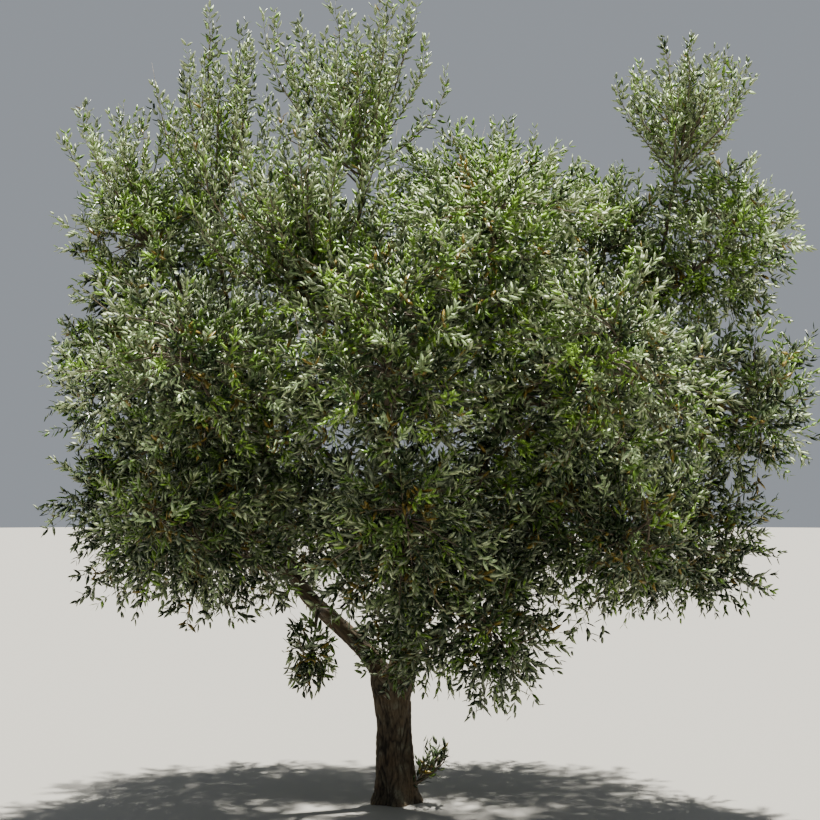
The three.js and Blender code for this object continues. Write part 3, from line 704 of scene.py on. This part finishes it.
def leaf_corners(stations):
    """Corners of a leaf as shares of its length, width and fold: base, tip, left side and right side."""
    left = [(place, out, -1) for place, out in stations]
    right = [(place, -out, -1) for place, out in stations]
    return np.array([(0, 0, 0), (1, 0, 0), *left, *right])


# Four faces of a leaf meet along the midrib on top, and four close the underside
LEAF = {
    "corners": leaf_corners(LEAF_STATIONS),
    "faces": np.array(
        [(0, 1, 3), (0, 3, 2), (0, 4, 5), (0, 5, 1), (0, 2, 4), (2, 3, 5), (2, 5, 4), (3, 1, 5)]
    ),
    "under": np.array([0, 0, 0, 0, 1, 1, 1, 1]),
}
# An inner leaf is pointed at its sides too, with two faces on top and two below
INNER_LEAF = {
    "corners": leaf_corners(INNER_LEAF_STATIONS),
    "faces": np.array([(0, 1, 2), (0, 3, 1), (0, 2, 3), (1, 3, 2)]),
    "under": np.array([0, 0, 1, 1]),
}


def leaf_arrays(form, leaves, numbers):
    """Corners, faces and material numbers of many leaves of one form."""
    root, direction, across, length = leaves[:4]
    width = length * LEAF_WIDTH_SHARE
    top = np.cross(direction, across)
    shares = form["corners"]
    along = direction[:, None] * (shares[:, 0][None, :, None] * length[:, None, None])
    aside = across[:, None] * (shares[:, 1][None, :, None] * width[:, None, None])
    down = top[:, None] * (shares[:, 2][None, :, None] * width[:, None, None] * LEAF_FOLD)
    corners = (root[:, None] + along + aside + down).reshape(-1, 3)
    faces = (form["faces"][None] + len(shares) * np.arange(len(root))[:, None, None]).reshape(-1, 3)
    # Each underside is the painted shaded or the painted lit one, following its top colour
    under = len(LEAF_COLOURS) + UNDER_OF_COLOUR[numbers]
    return corners, faces, np.where(form["under"][None], under[:, None], numbers[:, None]).reshape(-1)


def tube_arrays(lines, thick, thin, sides, numbers):
    """Many tapering twigs, each along a row of points, capped at the root and pointed at the tip."""
    count, rings = lines.shape[0], lines.shape[1] - 1
    headings = unit(np.gradient(lines, axis=1))
    lying = np.argmin(np.abs(lines[:, -1] - lines[:, 0]), axis=1)
    side = unit(np.cross(headings, np.eye(3)[lying][:, None]))
    over = np.cross(headings, side)
    radius = np.linspace(thick, thin, rings)[:, None]
    angles = np.arange(sides) * math.tau / sides
    around = [side[:, :-1] * math.cos(a) + over[:, :-1] * math.sin(a) for a in angles]
    walls = np.stack([lines[:, :-1] + radius * outwards for outwards in around], axis=2)
    corners = np.concatenate([walls.reshape(count, -1, 3), lines[:, -1:]], axis=1)
    tip = rings * sides
    faces = []
    for k in range(sides):
        after = (k + 1) % sides
        for ring in range(0, tip - sides, sides):
            faces.append((ring + k, ring + after, ring + after + sides))
            faces.append((ring + k, ring + after + sides, ring + k + sides))
        faces.append((tip - sides + k, tip - sides + after, tip))
        if 0 < k < sides - 1:
            faces.append((0, k + 1, k))
    faces = np.array(faces)
    starts = np.arange(count)[:, None, None] * (tip + 1)
    return corners.reshape(-1, 3), (faces[None] + starts).reshape(-1, 3), np.repeat(numbers, len(faces))


def joined(parts):
    """Several sets of corners, faces and numbers as one."""
    starts = np.cumsum([0] + [len(corners) for corners, faces, numbers in parts])
    corners = np.vstack([part[0] for part in parts])
    faces = np.vstack([part[1] + start for part, start in zip(parts, starts)])
    return corners, faces, np.concatenate([part[2] for part in parts])


def mesh_piece(name, parts, materials):
    """A piece made straight from arrays of corners, triangles and material numbers."""
    corners, faces, numbers = joined(parts)
    mesh = bpy.data.meshes.new(name)
    mesh.vertices.add(len(corners))
    mesh.vertices.foreach_set("co", corners.astype(np.float32).ravel())
    mesh.loops.add(faces.size)
    mesh.loops.foreach_set("vertex_index", faces.astype(np.int32).ravel())
    mesh.polygons.add(len(faces))
    mesh.polygons.foreach_set("loop_start", np.arange(0, faces.size, 3, dtype=np.int32))
    mesh.polygons.foreach_set("material_index", numbers.astype(np.int32))
    for material in materials:
        mesh.materials.append(material)
    mesh.update(calc_edges=True)
    piece = bpy.data.objects.new(name, mesh)
    bpy.context.scene.collection.objects.link(piece)
    return piece


# Finishes


def plain_material(name, colour, roughness):
    material = bpy.data.materials.new(name)
    material.use_nodes = True
    shader = material.node_tree.nodes["Principled BSDF"]
    shader.inputs["Base Color"].default_value = (*colour, 1)
    shader.inputs["Roughness"].default_value = roughness
    return material


def add_node(tree, kind, **values):
    """A node with its inputs, by their names, set to values or linked to other nodes' outputs."""
    node = tree.nodes.new(kind)
    for name, value in values.items():
        socket = node.inputs[name]
        if isinstance(value, bpy.types.NodeSocket):
            tree.links.new(value, socket)
        else:
            socket.default_value = value
    return node


def ramp(tree, factor, stops):
    """A colour ramp through stops of a place and a grey or a colour."""
    node = tree.nodes.new("ShaderNodeValToRGB")
    tree.links.new(factor, node.inputs["Fac"])
    elements = node.color_ramp.elements
    while len(elements) < len(stops):
        elements.new(0.5)
    for element, (place, colour) in zip(elements, stops):
        element.position = place
        element.color = (*colour, 1) if isinstance(colour, tuple) else (colour, colour, colour, 1)
    return node.outputs["Color"]


def mix(tree, factor, first, second, blend="MIX"):
    """A mix of two colours, which are the mix node's inputs 6 and 7 and its output 2."""
    node = tree.nodes.new("ShaderNodeMix")
    node.data_type = "RGBA"
    node.blend_type = blend
    for socket, value in ((node.inputs[0], factor), (node.inputs[6], first), (node.inputs[7], second)):
        if isinstance(value, bpy.types.NodeSocket):
            tree.links.new(value, socket)
        else:
            socket.default_value = value
    return node.outputs[2]


def bark_pattern():
    """Bark: fissures darkened with painted shade on top of their own tone, and pale ridges, with fine grain
    along the limb and patches of lichen.
    """
    group = bpy.data.node_groups.new("bark_pattern", "ShaderNodeTree")
    for name, kind in (
        ("Place", "NodeSocketVector"),
        ("Height", "NodeSocketFloat"),
        ("Fissure_and_shade", "NodeSocketColor"),
        ("Ridge", "NodeSocketColor"),
        ("Lichen", "NodeSocketColor"),
    ):
        group.interface.new_socket(name, in_out="INPUT", socket_type=kind)
    for name, kind in (
        ("Color", "NodeSocketColor"),
        ("Roughness", "NodeSocketFloat"),
        ("Normal", "NodeSocketVector"),
    ):
        group.interface.new_socket(name, in_out="OUTPUT", socket_type=kind)
    given = group.nodes.new("NodeGroupInput").outputs
    result = group.nodes.new("NodeGroupOutput").inputs
    stretched = add_node(group, "ShaderNodeMapping", Vector=given["Place"], Scale=BARK_STRETCH).outputs[0]
    grain = add_node(group, "ShaderNodeTexNoise", Vector=stretched, **GRAIN).outputs[0]
    flakes = add_node(group, "ShaderNodeTexNoise", Vector=stretched, **FLAKES).outputs[0]
    patches = add_node(group, "ShaderNodeTexNoise", Vector=given["Place"], **PATCHES).outputs[0]
    tall = add_node(group, "ShaderNodeMapRange", Value=given["Height"], **RELIEF_RANGE).outputs[0]
    worn = mix(group, FLAKE_SHARE, tall, flakes)
    # Darker where the relief is low: the fissures' own tone with painted shade
    colour = mix(group, ramp(group, worn, RIDGE_RAMP), given["Fissure_and_shade"], given["Ridge"])
    colour = mix(group, GRAIN_SHARE, colour, ramp(group, grain, GRAIN_RAMP), "MULTIPLY")
    colour = mix(group, 1.0, colour, ramp(group, patches, WARMTH_RAMP), "MULTIPLY")
    lichen = ramp(group, patches, LICHEN_RAMP)
    lichen = mix(group, 1.0, lichen, ramp(group, tall, LICHEN_HEIGHT_RAMP), "MULTIPLY")
    colour = mix(group, lichen, colour, given["Lichen"])
    group.links.new(colour, result["Color"])
    group.links.new(ramp(group, tall, ROUGHNESS_RAMP), result["Roughness"])
    height = mix(group, BUMP_FLAKE_SHARE, grain, flakes)
    bump = add_node(group, "ShaderNodeBump", Height=height, **BARK_BUMP)
    group.links.new(bump.outputs["Normal"], result["Normal"])
    return group


def bark_material(name, pattern, colours):
    material = plain_material(name, colours["Ridge"], BARK_ROUGHNESS)
    tree = material.node_tree
    place = tree.nodes.new("ShaderNodeAttribute")
    place.attribute_name = "bark_place"
    height = tree.nodes.new("ShaderNodeAttribute")
    height.attribute_name = "bark_height"
    bark = tree.nodes.new("ShaderNodeGroup")
    bark.node_tree = pattern
    for socket, colour in colours.items():
        bark.inputs[socket].default_value = (*colour, 1)
    shader = tree.nodes["Principled BSDF"]
    tree.links.new(place.outputs["Vector"], bark.inputs["Place"])
    tree.links.new(height.outputs["Fac"], bark.inputs["Height"])
    tree.links.new(bark.outputs["Color"], shader.inputs["Base Color"])
    tree.links.new(bark.outputs["Roughness"], shader.inputs["Roughness"])
    tree.links.new(bark.outputs["Normal"], shader.inputs["Normal"])
    return material


# Wood


def deselect():
    bpy.ops.object.select_all(action="DESELECT")


def choose(piece):
    deselect()
    piece.select_set(True)
    bpy.context.view_layer.objects.active = piece


def apply_modifier(piece, kind, **settings):
    choose(piece)
    modifier = piece.modifiers.new(kind.lower(), kind)
    for key, value in settings.items():
        setattr(modifier, key, value)
    bpy.ops.object.modifier_apply(modifier=modifier.name)


def trunk_profile():
    """Radius and height of the trunk's rings, evenly along its smooth outline."""
    outline = smooth_line([(radius, 0, height) for radius, height in TRUNK_OUTLINE])
    rings = Limb("outline", outline, 0, 0).at(np.linspace(0, 1, TRUNK_RINGS))
    return rings[:, 0], rings[:, 2]


def trunk_limb():
    """The trunk's middle line, for its bark to follow."""
    radii, heights = trunk_profile()
    lean = TRUNK_LEAN * (heights / heights[-1]) ** 2
    return Limb("trunk", np.stack([lean, np.zeros_like(lean), heights], axis=1), radii.mean(), radii.mean())


def trunk_body():
    """The trunk without its bark: a disc drawn up ring by ring, then lobed at the foot and fluted."""
    radii, heights = trunk_profile()
    deselect()
    bpy.ops.mesh.primitive_circle_add(
        vertices=TRUNK_SIDES, radius=radii[0], fill_type="NGON", location=(0, 0, -TRUNK_BURIED)
    )
    trunk = bpy.context.object
    bpy.ops.object.mode_set(mode="EDIT")
    bpy.ops.mesh.select_all(action="SELECT")
    bpy.ops.mesh.extrude_region_move(TRANSFORM_OT_translate={"value": (0, 0, TRUNK_BURIED)})
    for k in range(1, TRUNK_RINGS):
        rise = heights[k] - heights[k - 1]
        bpy.ops.mesh.extrude_region_move(TRANSFORM_OT_translate={"value": (0, 0, rise)})
        grow = radii[k] / radii[k - 1]
        bpy.ops.transform.resize(value=(grow, grow, 1), center_override=(0, 0, heights[k]))
    bpy.ops.object.mode_set(mode="OBJECT")
    choose(trunk)
    bpy.ops.object.transform_apply(location=True, rotation=True, scale=True)
    for vertex in trunk.data.vertices:
        x, y, z = vertex.co
        turn = math.atan2(y, x)
        height = max(z, 0)
        fading = math.exp(-height / ROOT_LOBE_HEIGHT)
        lobes = ROOT_LOBE_DEPTH * fading * math.cos(ROOT_LOBES * turn + ROOT_LOBE_TURN)
        flutes = FLUTE_DEPTH * math.cos(FLUTES * turn + height / FLUTE_TWIST_HEIGHT)
        wide = 1 + lobes + flutes
        lean = TRUNK_LEAN * (height / heights[-1]) ** 2
        vertex.co = (x * wide + lean, y * wide, z)
    return trunk


def limb_tubes(name, stretches, collar):
    """One mesh with a closed tube for each stretch of limb, with a collar at its root and a round end."""
    curve = bpy.data.curves.new(name, "CURVE")
    curve.dimensions = "3D"
    curve.bevel_depth = 1
    curve.bevel_resolution = TUBE_RESOLUTION
    curve.use_fill_caps = True
    for limb, start, end in stretches:
        count = max(LEAST_TUBE_POINTS, round(limb.length * (end - start) / TUBE_STEP) + 1)
        shares = np.linspace(start, end, count)
        spline = curve.splines.new("POLY")
        spline.points.add(count - 1)
        for point, share, place in zip(spline.points, shares, limb.at(shares)):
            swelling = collar * math.exp(-share * limb.length / COLLAR_LENGTH)
            radius = float(limb.radius(share)) * (1 + swelling)
            short = max(0, 1 - (end - share) * limb.length / radius)
            point.co = (*place, 1)
            point.radius = radius * max(TUBE_END_SHARE, math.sqrt(1 - short * short))
    tubes = bpy.data.objects.new(name, curve)
    bpy.context.scene.collection.objects.link(tubes)
    choose(tubes)
    bpy.ops.object.convert(target="MESH")
    return bpy.context.object


def join(first, second):
    choose(first)
    second.select_set(True)
    bpy.ops.object.join()


def remesh(piece, voxel, rounds):
    """Grows overlapping tubes together into one skin, and softens the forks between them."""
    apply_modifier(piece, "REMESH", mode="VOXEL", voxel_size=voxel)
    apply_modifier(piece, "SMOOTH", iterations=rounds, factor=SOFTENING_FACTOR)


def bark_height(u, v, w):
    """Height of the bark at a place across and along a limb."""
    warp = noise.noise(Vector((u, v, w)) * FISSURE_WARP["waves"]) * FISSURE_WARP["strength"]
    across, along = FISSURES["across"], FISSURES["along"]
    ridge = abs(noise.noise(Vector((u * across + warp, v * across, w * along))))
    across, along = FINE_FISSURES["across"], FINE_FISSURES["along"]
    plate = abs(noise.noise(Vector((u * across, v * across + warp, w * along + FINE_FISSURES["shift"]))))
    swell = noise.noise(Vector((u, v, w * SWELLINGS["stretch"])) * SWELLINGS["waves"] + SWELLING_SHIFT)
    wide = min(1, ridge * FISSURE_SHARPNESS) * FISSURES["depth"]
    fine = min(1, plate * FISSURE_SHARPNESS) * FINE_FISSURES["depth"]
    return wide + fine - FISSURES["depth"] + SWELLINGS["depth"] * swell


def add_relief(piece, limbs, deepest):
    """Moves the points of a wooden piece out or in to make bark, which runs along the nearest limb."""
    rows = []
    for limb in limbs:
        side, over = side_frames(limb.headings)
        share = np.linspace(0, 1, len(limb.points))
        along = share * limb.length
        radius = limb.radius(share)
        rows.append(np.column_stack([limb.points, limb.headings, side, over, along, radius]))
    ends_of_columns = [3, 6, 9, 12, 13]
    rows = np.vstack(rows)
    tree = kdtree.KDTree(len(rows))
    for k, row in enumerate(rows):
        tree.insert(row[:3], k)
    tree.balance()
    mesh = piece.data
    count = len(mesh.vertices)
    spots = np.empty(count * 3, np.float32)
    mesh.vertices.foreach_get("co", spots)
    spots = spots.reshape(-1, 3).astype(float)
    near = rows[[tree.find(spot)[1] for spot in spots]]
    middle, heading, side, over, along, radius = np.split(near, ends_of_columns, axis=1)
    offset = spots - middle
    place = np.column_stack(
        [
            (offset * side).sum(axis=1),
            (offset * over).sum(axis=1),
            along[:, 0] + (offset * heading).sum(axis=1),
        ]
    )
    relief = np.array([bark_height(u, v, w) for u, v, w in place])
    depth = np.minimum(radius[:, 0] * BARK_DEPTH_SHARE, deepest)
    normals = np.empty(count * 3, np.float32)
    mesh.vertices.foreach_get("normal", normals)
    spots += normals.reshape(-1, 3) * (relief * depth)[:, None]
    mesh.vertices.foreach_set("co", spots.astype(np.float32).ravel())
    mark = mesh.attributes.new("bark_height", "FLOAT", "POINT")
    mark.data.foreach_set("value", relief.astype(np.float32))
    mark = mesh.attributes.new("bark_place", "FLOAT_VECTOR", "POINT")
    mark.data.foreach_set("vector", place.astype(np.float32).ravel())
    mesh.update()


def cut_at_ground(piece):
    """Cuts a piece off flat at ground level, with a closed face there."""
    choose(piece)
    bpy.ops.object.mode_set(mode="EDIT")
    bpy.ops.mesh.select_all(action="SELECT")
    bpy.ops.mesh.bisect(
        plane_co=(0, 0, 0), plane_no=(0, 0, 1), clear_inner=True, use_fill=True, threshold=CUT_THRESHOLD
    )
    bpy.ops.object.mode_set(mode="OBJECT")


def finish_wood(piece, material):
    choose(piece)
    bpy.ops.object.shade_smooth()
    piece.data.materials.clear()
    piece.data.materials.append(material)
    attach(piece, "root")


def build_trunk(scaffolds, material):
    """The trunk and the boughs' thick lower stretches, grown together."""
    trunk = trunk_body()
    stretches = [(limb, 0, limb.share_of_radius(LOW_BOUGH_RADIUS)) for limb in scaffolds.values()]
    join(trunk, limb_tubes("low_boughs", stretches, FORK_COLLAR))
    trunk.name = "trunk_and_forks"
    remesh(trunk, LOW_VOXEL, LOW_SOFTENING)
    add_relief(trunk, [trunk_limb(), *scaffolds.values()], DEEPEST_LOW_BARK)
    cut_at_ground(trunk)
    finish_wood(trunk, material)
    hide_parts("trunk")


def build_boughs(scaffolds, boughs, material):
    """The scaffold boughs' upper stretches and the boughs that carry the masses."""
    first_radius = LOW_BOUGH_RADIUS + BOUGH_OVERLAP
    stretches = [(limb, limb.share_of_radius(first_radius), 1) for limb in scaffolds.values()]
    stretches += [(limb, 0, 1) for limb in boughs.values()]
    piece = limb_tubes("boughs", stretches, LIMB_COLLAR)
    remesh(piece, HIGH_VOXEL, HIGH_SOFTENING)
    add_relief(piece, [*scaffolds.values(), *boughs.values()], DEEPEST_HIGH_BARK)
    finish_wood(piece, material)
    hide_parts(*scaffolds, *(limb.name for limb in boughs.values()))


def build_foliage(scaffolds, boughs, leaf_materials, twig_materials):
    """Leaves and twigs, group by group, each kind joined into pieces of its own."""
    number = 0
    for group, members in MASS_GROUPS.items():
        leaf_parts, twig_parts = [], []
        for one in members:
            random = np.random.default_rng(number + 1)
            feeder = boughs.get(one["name"]) or scaffolds.get(one["from"])
            stem = stem_limb(one, feeder)
            twigs = grow_twigs(number, stem, random)
            sprigs = grow_sprigs(number, twigs, random)
            bare = random.random(len(sprigs[0])) < BARE_SPRIG_SHARE
            leaves = grow_leaves(number, sprigs, bare, random)
            numbers = leaf_numbers(sprigs, leaves, random)
            inner = is_inner(leaves[0])
            leaves[3][inner] *= INNER_LEAF_GROWTH
            for form, chosen in ((LEAF, ~inner), (INNER_LEAF, inner)):
                some = tuple(part[chosen] for part in leaves)
                leaf_parts.append(leaf_arrays(form, some, numbers[chosen]))
            shares = np.linspace(0, 1, SPRIG_STEPS + 1)
            lines = np.stack([sprig_points(sprigs, np.full(len(bare), share)) for share in shares], axis=1)
            stem_line = stem.at(np.linspace(0, 1, STEM_RINGS))[None]
            barks = [TWIG_BARK] * (len(twigs) - 1)
            shoots = np.where(bare, DEAD_TWIG, GREEN_SHOOT)
            twig_parts.append(tube_arrays(stem_line, stem.thick, stem.thin, STEM_SIDES, [TWIG_BARK]))
            twig_parts.append(tube_arrays(twigs[:-1], TWIG_RADIUS, TWIG_TIP_RADIUS, TWIG_SIDES, barks))
            twig_parts.append(tube_arrays(lines, SPRIG_RADIUS, SPRIG_TIP_RADIUS, SPRIG_SIDES, shoots))
            number += 1
        leaves_piece = mesh_piece("leaves_" + group, leaf_parts, leaf_materials)
        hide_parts(*("foliage_" + one["name"] for one in members))
        twigs_piece = mesh_piece("twigs_" + group, twig_parts, twig_materials)
        for piece in (leaves_piece, twigs_piece):
            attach(piece, "root")


pattern = bark_pattern()
# The trunk's bark carries painted shade in its darker colours
bark = bark_material("bark", pattern, TRUNK_BARK_AND_PAINTED_SHADE)
limb_bark = bark_material("limb_bark", pattern, BOUGH_BARK)
leaf_materials = [plain_material(name, colour, LEAF_ROUGHNESS) for name, colour in LEAF_COLOURS.items()]
leaf_materials += [plain_material(name, colour, UNDER_ROUGHNESS) for name, colour in LEAF_UNDERS.items()]
twig_materials = [plain_material(name, *finish) for name, finish in TWIG_FINISHES.items()]

scaffolds = scaffold_limbs()
boughs = {one["name"]: bough_limb(one, scaffolds[one["from"]]) for one in MASSES if one["share"]}
build_trunk(scaffolds, bark)
build_boughs(scaffolds, boughs, limb_bark)
build_foliage(scaffolds, boughs, leaf_materials, twig_materials)

# Floor, light and camera

bpy.ops.mesh.primitive_circle_add(
    vertices=FLOOR_SIDES, radius=FLOOR_RADIUS, fill_type="NGON", location=(0, 0, 0)
)
floor = bpy.context.object
floor.name = "floor"
floor.data.materials.append(plain_material("pale_floor", FLOOR_COLOUR, FLOOR_ROUGHNESS))

world = bpy.data.worlds.new("studio")
world.use_nodes = True
background = world.node_tree.nodes["Background"]
background.inputs["Color"].default_value = (*SKY_COLOUR, 1)
background.inputs["Strength"].default_value = SKY_STRENGTH
bpy.context.scene.world = world

sun = bpy.data.objects.new("key", bpy.data.lights.new("key", "SUN"))
sun.data.energy = SUN_ENERGY
sun.data.angle = SUN_ANGLE
sun.data.color = SUN_COLOUR
sun.rotation_euler = SUN_FROM.to_track_quat("Z", "Y").to_euler()
bpy.context.scene.collection.objects.link(sun)

camera = bpy.data.objects.new("camera", bpy.data.cameras.new("camera"))
camera.data.lens = CAMERA_LENS
camera.data.sensor_width = CAMERA_SENSOR
camera.location = CAMERA_PLACE
camera.rotation_euler = (math.radians(90 + CAMERA_RISE), 0, 0)
bpy.context.scene.collection.objects.link(camera)
bpy.context.scene.camera = camera
